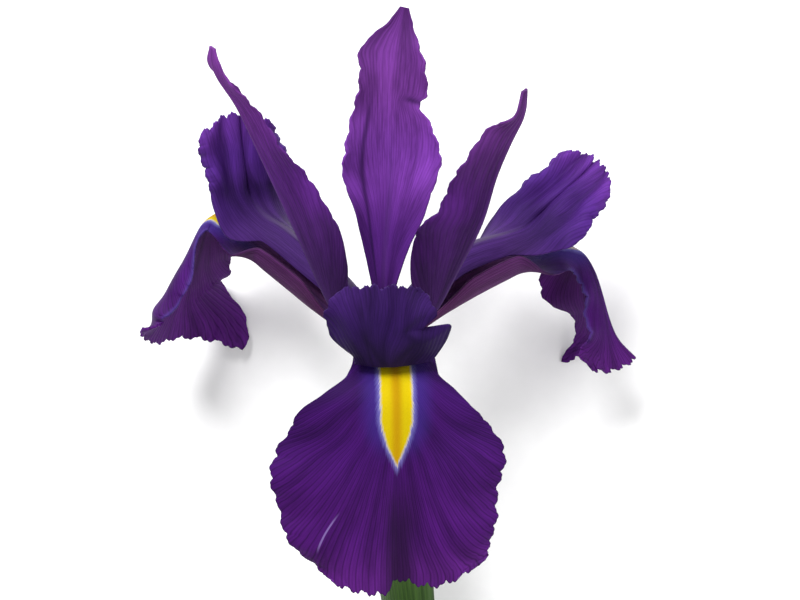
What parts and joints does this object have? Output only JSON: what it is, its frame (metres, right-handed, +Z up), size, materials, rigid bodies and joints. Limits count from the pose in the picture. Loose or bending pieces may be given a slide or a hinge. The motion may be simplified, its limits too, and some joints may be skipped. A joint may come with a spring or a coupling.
{
  "type": "iris flower",
  "caption": "Cut purple iris lying on its back: drooping falls, upright standards, crested style arms, and a sheathed green stem stub.",
  "frame": {"origin": "middle of the bounding box, on the surface the flower lies on", "axes": "+Y along the lying stem towards the flower's top, +X to the flower's right as its front fall is faced, +Z up"},
  "size_m": [0.1034, 0.1556, 0.1002],
  "materials": {
    "stem": "satin",
    "ovary": "satin",
    "spathe": "satin",
    "fall": "matte",
    "standard": "matte",
    "style": "matte",
    "stamen": "matte"
  },
  "bodies": {
    "root": {"stem": "stem", "ovary": "ovary", "spathe_inner": "spathe", "spathe_outer": "spathe", "fall_front": "fall", "fall_left": "fall", "fall_right": "fall", "standard_back": "standard", "standard_left": "standard", "standard_right": "standard", "style_arm_front": "style", "style_arm_left": "style", "style_arm_right": "style", "stamen_front": "stamen", "stamen_left": "stamen", "stamen_right": "stamen"}
  },
  "joints": []
}
